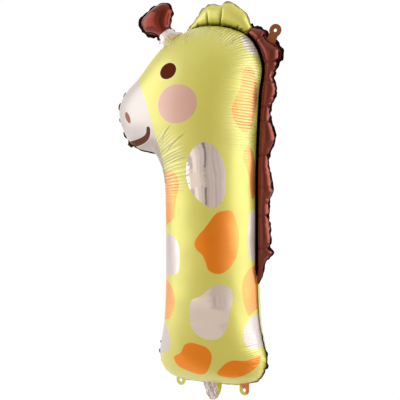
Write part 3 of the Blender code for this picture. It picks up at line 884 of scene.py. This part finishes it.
# Painted highlight: orange near the side seams, above the foot, is mixed towards a pale orange.
orange_highlight = times(tree, by_seam, ramp(tree, z, *ORANGE_HIGHLIGHT_RISE))
jaw = times(tree, ramp(tree, z, *JAW_TOP), ramp(tree, x, *JAW_SIDE))
colour = mixed(tree, object_noise(tree, 14.0), YELLOW, YELLOW_PALE)
for share, over in (
    (printed["silver"], mixed(tree, by_seam, SILVER, dull_silver_painted_light)),
    (printed["orange"], mixed(tree, orange_highlight, ORANGE, ORANGE_PAINTED_HIGHLIGHT)),
    (printed["muzzle"], mixed(tree, jaw, MUZZLE_PALE, JAW_SHADE)),
    (printed["cheek"], CHEEK_PINK),
    (ramp(tree, outline, -1.3, -0.9), FACE_OUTLINE),
    (printed["nostril"], NOSTRIL_BROWN),
    (printed["smile"], SMILE_BROWN),
    (printed["eye"], EYE_BROWN),
):
    colour = mixed(tree, share, colour, over)
gathers, furrows = ridges(
    tree, attribute(tree, "gather_count"), attribute(tree, "gather_run"), attribute(tree, "gather_strength")
)
fold = ramp(tree, attribute(tree, "fold"), 0.0, FOLD_HALF_WIDTH)
# Painted highlight: the gathers' ridges are mixed towards a pale yellow.
colour = mixed(tree, times(tree, math_node(tree, "MINIMUM", gathers, 1.0), 0.2), colour, RIDGE_PAINTED_HIGHLIGHT)
shade = times(tree, math_node(tree, "MINIMUM", furrows, 1.0), 0.2)
shade = larger(tree, times(tree, fold, 0.75), shade)
shaded = {0: shade, 6: colour, 7: (*CREASE_SHADE, 1.0)}
colour = node(tree, "ShaderNodeMix", shaded, data_type="RGBA", blend_type="MULTIPLY").outputs[2]
fin = fin_share(tree)
# Painted shade: a dark band on the body beside the lobes' weld, near the seals, where the valley lies.
weld = ramp(tree, attribute(tree, "weld_shade"), -1.5, 1.5)
straight = times(tree, ramp(tree, z, *STRAIGHT_FOOT), ramp(tree, z, *STRAIGHT_TOP))
foot_colour = mixed(tree, ramp(tree, x, *ORANGE_FOOT), YELLOW, FIN_ORANGE)
fin_colour = mixed(tree, straight, FIN_DARK, FIN_OLIVE)
fin_colour = mixed(tree, ramp(tree, z, *FOOT_TOP), foot_colour, fin_colour)
colour = mixed(tree, weld, mixed(tree, fin, colour, fin_colour), WELD_PAINTED_SHADE)
matt = larger(tree, fin, weld)
satin = ramp(tree, object_noise(tree, 60.0), 0.3, 0.7, 0.34, 0.40)
roughness = mixed(tree, printed["silver"], satin, ramp(tree, by_seam, 0.0, 1.0, 0.09, 0.3))
metallic = mixed(tree, printed["orange"], mixed(tree, drawn, 0.3, 0.0), 0.8)
metallic = mixed(tree, printed["silver"], metallic, ramp(tree, by_seam, 0.0, 1.0, 1.0, 0.35))
metallic = mixed(tree, matt, metallic, 0.0)
relief = less(tree, gathers, times(tree, fold, 2.0))
relief = plus(tree, relief, times(tree, object_noise(tree, 11.0, 1.0), 9.0))
relief = plus(tree, relief, times(tree, object_noise(tree, 220.0, 3.0), 0.06))
coat = mixed(tree, printed["silver"], mixed(tree, printed["orange"], 1.0, 0.18), 0.3)
coat = times(tree, less(tree, 1.0, larger(tree, drawn, matt)), coat)
film_shader(tree, colour, roughness, metallic, (relief, MM), coat, 0.42, 2.1)
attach(body, "root")
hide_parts("foil_envelope")


# The mane: a tube of clear brown film over bright foil, welded beside the nape and sealed along a scalloped
# edge. It pinches at each notch, and its fin curls.
SEAL = 3.0
PUCKER_REACH = 9.0
LOBE_KNOT_COLUMNS = 12
# How many places of the rim, each way, a fin's width is blended over.
FIN_BLEND = 8
MANE_SPAN = (0.217, 0.706)
MANE_REACH = 41.0
MANE_SCALLOPS = (
    (0.000, 0.04), (0.035, 0.29), (0.086, 0.43), (0.119, 0.82), (0.140, 0.65), (0.169, 0.72), (0.257, 0.60),
    (0.330, 0.65), (0.358, 0.82), (0.410, 0.72), (0.472, 0.57), (0.530, 0.70), (0.564, 0.88), (0.605, 0.76),
    (0.648, 0.54), (0.690, 0.59), (0.758, 0.78), (0.793, 0.64), (0.816, 0.47), (0.857, 0.83), (0.883, 0.99),
    (0.905, 0.86), (0.933, 0.62), (0.960, 0.70), (1.000, 0.42),
)
nape = path_at(right_seam, np.linspace(0, len(right_seam) - 1, 1441))
nape_length = run_length(nape)


def off_nape(shares, reaches):
    """Points that stand out from the nape's seam, at shares of its length."""
    def along(share):
        at = np.asarray(share) * nape_length[-1]
        return np.stack([np.interp(at, nape_length, nape[:, k]) for k in (0, 1)], axis=-1)

    shares = np.asarray(shares, float)
    out = right_hand(along(shares + 0.005) - along(shares - 0.005))
    return along(shares) + out * np.expand_dims(reaches, -1)


def lobe_seams(span, outline, reach):
    """Control points of a lobe's weld and of its outer seam."""
    shares, reaches = np.array(outline).T
    weld = off_nape(span[0] + (span[1] - span[0]) * np.clip(shares, 0, 1), np.full(len(shares), SEAL))
    return weld, off_nape(span[0] + (span[1] - span[0]) * shares, SEAL + reaches * reach)


def lobe(name, seams, columns, spacing, finish, creases, fins, seed, bows=(0.0, 0.0), fullness=FULLNESS,
         pinches=(), weld_folds=()):
    """A blown lobe between a weld and an outer seam.

    creases are rows of (width, depth, reach, strength at the weld, at the outer seam, at the ends). fins are
    the fin's widths at the weld, the outer seam, the start and the end, with a table of (share, width) at the
    outer seam. pinches are (share of the outer seam, depth) where the tube is drawn in, and weld_folds
    (share of the weld, length, depth) are sharp folds.
    """
    rows = rows_for(seams[1], ((0, spacing), (1, spacing)), edge_step=0.8, rounding=12)
    flat, height = blown_panel(*seams, rows, columns, bows, fullness, LOBE_KNOT_COLUMNS)
    along, away = edge_runs(flat, height)
    weld_run, outer_run = along[:2]
    near_outer = np.exp(-away[1] / PUCKER_REACH)
    gather = np.sqrt(np.abs(noise(outer_run / 12.0, 0.0, seed))) - 0.6
    way = right_hand(np.gradient(flat[:, -1], axis=0))
    shift = way[:, None] * (2.0 * gather * near_outer)[..., None]
    middle = 1.8 * noise(outer_run / 13.0, 0.0, seed + 3) * near_outer
    across = np.linspace(0, 1, columns + 1)[None]
    pinched = [(np.abs(outer_run - share * outer_run[-1]), depth) for share, depth in pinches]
    folded = [
        (np.abs(weld_run - share * weld_run[-1]), np.clip(2 - 2 * away[0] / length, 0, 1), depth)
        for share, length, depth in weld_folds
    ]
    crease = np.zeros(height.shape)
    for off, _ in pinched:
        crease = np.maximum(crease, np.exp(-off / 1.2) * across)
    for off, fade, _ in folded:
        crease = np.maximum(crease, np.exp(-off / 1.2) * fade)
    sides = []
    for side, side_seed in ((-1, seed), (1, seed + 400)):
        bumps = np.zeros(height.shape)
        for k, (width, depth, reach, *strengths) in enumerate(creases):
            for run, from_edge, strength in zip(along, away, (*strengths, strengths[-1])):
                bumps = bumps + strength * pleats(run, from_edge, width, depth, reach, side_seed + 20 * k)
        for off, depth in pinched:
            off = off + 1.5 * noise(across * 4, 0.0, seed + 9)
            bumps = bumps - depth * np.exp(-np.abs(off) / 2.2) * (0.25 + 0.75 * across)
        for off, fade, depth in folded:
            bumps = bumps - depth * np.exp(-off / 1.5) * fade
        sides.append(blown_points(flat, height, side, shift, middle, bumps))
    ring = edge_ring(len(rows) - 1, columns)
    length = run_length(np.array([(flat + shift)[place] for place in ring]))
    # The edge that each place is on: 0 the weld, 1 the outer seam, 2 the start and 3 the end.
    edges = [
        3 if i == len(rows) - 1 and j else 2 if i == 0 and j < columns else 1 if j else 0 for i, j in ring
    ]
    outer_width = masked(outer_run[:, 0] / outer_run[-1, 0], fins[1])
    width = np.array([outer_width[i] if edge == 1 else fins[edge] for edge, (i, _) in zip(edges, ring)])
    width = np.mean([np.roll(width, k) for k in range(-FIN_BLEND, FIN_BLEND + 1)], axis=0)
    curl = 1.8 * np.clip(width / 3.0, 0, 1) * noise(length / 9.0, 0.0, seed + 6)
    width = width * (1 + 0.5 * noise(length / 8.0, 0.0, seed + 5))
    fin_middle = np.array([middle[place] for place in ring]) + curl
    return pillow(name, flat + shift, sides, (width, fin_middle), finish, {"crease": crease})


def clear_ink(tree, colour, fin, dark, gloss, coat_roughness, coat_ior):
    """Sets up brown ink over bright foil. It turns dark and dull by the share dark, and rough on the fin."""
    clear = less(tree, 1.0, dark)
    roughness = mixed(tree, fin, gloss, 0.45)
    grain = (object_noise(tree, 160.0, 3.0), 0.0002)
    film_shader(
        tree, mixed(tree, dark, colour, BROWN_DARK), roughness, clear, grain, clear, coat_roughness, coat_ior
    )


BROWN = (0.17, 0.022, 0.009)
BROWN_PALE = (0.20, 0.028, 0.012)
BROWN_DARK = (0.016, 0.006, 0.005)
brown_film, tree = new_film("brown_clear_film")
colour = mixed(tree, object_noise(tree, 30.0), BROWN, BROWN_PALE)
fin = fin_share(tree)
# Painted shade: the mane's pinch creases are darkened towards BROWN_DARK.
clear_ink(tree, colour, fin, larger(tree, fin, times(tree, attribute(tree, "crease"), 0.8)), 0.22, 0.2, 1.42)
mane = lobe(
    "mane", lobe_seams(MANE_SPAN, MANE_SCALLOPS, MANE_REACH), 26, 1.5, brown_film,
    ((6.0, 0.9, 7.0, 0.5, 1.0, 0.5), (17.0, 1.1, 14.0, 0.4, 0.8, 0.5)),
    fins=(
        0.4, ((0, 3.0), (0.6, 3.5), (0.74, 6.0), (0.8, 6.5), (0.84, 8.5), (0.93, 8.5), (0.95, 5), (1, 7.5)),
        3.0, 7.5,
    ),
    pinches=(
        (0.140, 3.5), (0.257, 3.0), (0.36, 2.0), (0.472, 4.0), (0.60, 2.5), (0.648, 4.0), (0.74, 2.5),
        (0.816, 4.5), (0.933, 4.0),
    ),
    seed=600,
)
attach(mane, "root")
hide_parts("foil_envelope")


# The ear: one broad pointed lobe of yellow satin film on the crown. It is blown from the same two sheets as
# the body, welded along its root, and the weld draws deep creases into it.
EAR_SPAN = (0.712, 0.836)
EAR_REACH = 50.0
EAR_OUTLINE = (
    (0.00, 0.44), (0.08, 0.67), (0.16, 0.82), (0.26, 0.96), (0.375, 1.00), (0.49, 0.85), (0.59, 0.90),
    (0.67, 0.79), (0.745, 0.54), (0.88, 0.22), (0.96, 0.09), (1.00, 0.04),
)
EAR_SHADE = (0.15, 0.125, 0.03)


def satin_ink(tree, colour, coat_ior):
    """Sets up satin ink over foil, like the body's yellow."""
    film_shader(tree, colour, 0.37, 0.3, (object_noise(tree, 220.0, 3.0), 0.0001), 1.0, 0.42, coat_ior)


ear_film, tree = new_film("yellow_satin_film")
colour = mixed(tree, object_noise(tree, 14.0), YELLOW, YELLOW_PALE)
shade = larger(tree, ramp(tree, attribute(tree, "fin"), 0.1, 0.6), attribute(tree, "crease"))
satin_ink(tree, mixed(tree, shade, colour, EAR_SHADE), 2.1)
ear = lobe(
    "ear", lobe_seams(EAR_SPAN, EAR_OUTLINE, EAR_REACH), 44, 1.6, ear_film,
    ((7.0, 0.8, 14.0, 0.5, 1.0, 0.5), (22.0, 2.4, 30.0, 0.6, 1.0, 0.3)),
    fins=(0.4, ((0, 3.0), (0.5, 4.0), (0.7, 6.0), (1, 5.0)), 3.0, 4.0), bows=(8.0, 0.0),
    weld_folds=(
        (0.06, 16, 2.5), (0.13, 20, 3.0), (0.24, 14, 2.0), (0.42, 60, 5.5), (0.63, 48, 5.5), (0.80, 16, 2.0),
    ),
    seed=700,
)
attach(ear, "root")
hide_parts("foil_envelope")


# The horn: a round knob printed brown on a neck of bare silver film. It is one blown lobe that grows from the
# forehead's seam, and its neck is crushed where it leaves it.
HORN_ROOT = 0.876
HORN_LENGTH = 100.0
HORN_WIDTH = 96.0
HORN_LEAN = math.radians(37)
KNOB_START = 0.26
HORN_OUTLINE = (
    (0.00, 0.60, 0.66), (0.12, 0.50, 0.47), (0.25, 0.41, 0.35), (0.35, 0.37, 0.37), (0.44, 0.46, 0.56),
    (0.54, 0.62, 0.79), (0.64, 0.77, 0.90), (0.77, 0.75, 0.92), (0.88, 0.72, 0.73), (0.95, 0.54, 0.27),
)
horn_way = np.array((-math.sin(HORN_LEAN), math.cos(HORN_LEAN)))
horn_root = off_nape(HORN_ROOT, SEAL)


def stem_seams(root, way, outline, length, width):
    """Control points of the two seams of a lobe that grows from a root point along a way."""
    along, left, right = np.array([(row[0], row[1], row[-1]) for row in outline]).T
    middle = root + along[:, None] * length * way
    side = right_hand(way) * width / 2
    return middle - left[:, None] * side, middle + right[:, None] * side


horn_film, tree = new_film("horn_film")
knob = ramp(tree, attribute(tree, "knob"), -EDGE, EDGE)
fin = times(tree, fin_share(tree), knob)
clear_ink(tree, mixed(tree, knob, SILVER, BROWN), fin, fin, 0.24, 0.24, 1.25)
horn = lobe(
    "horn", stem_seams(horn_root, horn_way, HORN_OUTLINE, HORN_LENGTH, HORN_WIDTH), 40, 1.5, horn_film,
    (
        (8.0, 1.0, 10.0, 1.0, 1.0, 0.4, 0.8), (20.0, 1.6, 20.0, 0.8, 0.8, 0.6, 0.8),
        (6.0, 2.2, 34.0, 0.0, 0.0, 1.2, 0.0),
    ),
    fins=(9.0, ((0, 1.5), (0.4, 2.0), (0.5, 5.0), (1, 5.0)), 0.4, 6.0), seed=800,
)
knob_start = horn_root + horn_way * KNOB_START * HORN_LENGTH + PATTERN_ORIGIN / MM
give_marks(horn, {"knob": (points_of(horn)[:, (0, 2)] - knob_start) @ horn_way})
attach(horn, "root")
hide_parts("foil_envelope")


# The filling tail: a flat sleeve below the foot's seam, never blown up, so its film is crumpled. Its left
# part is bare silver, and its right part carries the yellow ink.
TAIL_LENGTH = 43.0
TAIL_WIDTH = 43.0
TAIL_FULLNESS = 0.25
TAIL_PROFILE = ((-0.1, 1.0), (0.0, 1.0), (0.3, 0.95), (0.62, 0.74), (0.86, 0.46), (0.97, 0.18))
TAIL_SILVER = (0.62, 0.54, 0.52)
TAIL_INK = (-0.1375, -0.1365)
tail_film, tree = new_film("tail_film")
inked = ramp(tree, object_axes(tree)["X"], *TAIL_INK)
colour = mixed(tree, inked, TAIL_SILVER, YELLOW)
crumple = math_node(tree, "ABSOLUTE", less(tree, object_noise(tree, 42.0, 1.5, (1.6, 1.0, 0.6)), 0.5))
film_shader(tree, colour, 0.2, mixed(tree, inked, 1.0, 0.3), (crumple, 0.02))
tail = lobe(
    "filling_tail", stem_seams(np.zeros(2), np.array((0.0, -1.0)), TAIL_PROFILE, TAIL_LENGTH, TAIL_WIDTH),
    30, 1.4, tail_film, ((8.0, 1.6, 40.0, 1.0, 1.0, 1.0), (15.0, 2.0, 40.0, 1.0, 1.0, 1.0)),
    fins=(2.0, ((0, 2.0), (1, 2.0)), 0.4, 1.5), fullness=TAIL_FULLNESS, seed=900,
)
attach(tail, "root")
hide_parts("foil_envelope")


# The tabs: flat ears of sealed film with a punched hole, two under the foot and one on the mane. The right
# tie tab's film changes from yellow to orange along a slanting line.
TAB_THICKNESS = 0.8
HOLE_RADIUS = 3.75
HANG_TAB_LENGTH = 25.0
HANG_TAB_WIDTH = 28.0
HANG_TAB_NECK = 21.0
HANG_TAB_LEAN = math.radians(24)
TIE_TAB_WIDTH = 23.0
TAB_BROWN = (0.25, 0.085, 0.03)
TAB_ORANGE = (0.72, 0.16, 0.012)


def punched_tab(name, root, way, length, width, neck, finish):
    """A flat tab that grows from a root point on the seam along a unit vector, round about its hole."""
    centre = root + way * length
    side = right_hand(way)
    mesh = bmesh.new()
    bmesh.ops.create_grid(mesh, x_segments=6, y_segments=96, size=0.5)
    for vertex in mesh.verts:
        turn = (vertex.co.y + 0.5) * 2 * math.pi
        across, back = math.sin(turn), math.cos(turn)
        reach = width / 2
        if back > 0:
            reach = max(reach, min(neck / 2 / max(abs(across), 1e-6), (length + SEAL) / back))
        radius = HOLE_RADIUS + (reach - HOLE_RADIUS) * (vertex.co.x + 0.5)
        x, z = centre + side * across * radius - way * back * radius
        vertex.co = (x, 0.25 * math.sin(x / 4.0) * math.cos(z / 5.0), z)
    bmesh.ops.remove_doubles(mesh, verts=mesh.verts, dist=0.0001)
    top = bmesh.ops.extrude_face_region(mesh, geom=mesh.faces[:])["geom"]
    lifted = [part for part in top if isinstance(part, bmesh.types.BMVert)]
    bmesh.ops.translate(mesh, verts=lifted, vec=(0.0, -TAB_THICKNESS, 0.0))
    bmesh.ops.translate(mesh, verts=mesh.verts, vec=(0.0, TAB_THICKNESS / 2, 0.0))
    bmesh.ops.recalc_face_normals(mesh, faces=mesh.faces)
    made = film_object(name, mesh, finish, sharp_angle=40)
    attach(made, "root")
    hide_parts("foil_envelope")
    return made


tab_film, tree = new_film("brown_tab_film")
film_shader(tree, TAB_BROWN, 0.5, 0.1, (object_noise(tree, 160.0, 3.0), 0.0002), coat=0.1)
hang_way = np.array((math.sin(HANG_TAB_LEAN), math.cos(HANG_TAB_LEAN)))
# The hang tab's hole is at the row frame's origin.
hang_root = -PATTERN_ORIGIN / MM - hang_way * HANG_TAB_LENGTH
hang_tab = punched_tab(
    "hang_tab", hang_root, hang_way, HANG_TAB_LENGTH, HANG_TAB_WIDTH, HANG_TAB_NECK, tab_film
)
two_ink_film, tree = new_film("two_ink_film")
axes = object_axes(tree)
slant = plus(tree, times(tree, axes["X"], 0.8), times(tree, axes["Z"], 0.6))
satin_ink(tree, mixed(tree, ramp(tree, slant, -0.5315, -0.5305), YELLOW, TAB_ORANGE), 1.85)
foot_left, foot_right = flat[0, 0], flat[0, -1]
for name, share, length, finish in (
    ("tie_tab_left", 0.01, 7.0, ear_film), ("tie_tab_right", 0.97, 15.0, two_ink_film)
):
    root = foot_left + (foot_right - foot_left) * share
    down = np.array((0.0, -1.0))
    tie_tab = punched_tab(name, root, down, length, TIE_TAB_WIDTH, TIE_TAB_WIDTH, finish)
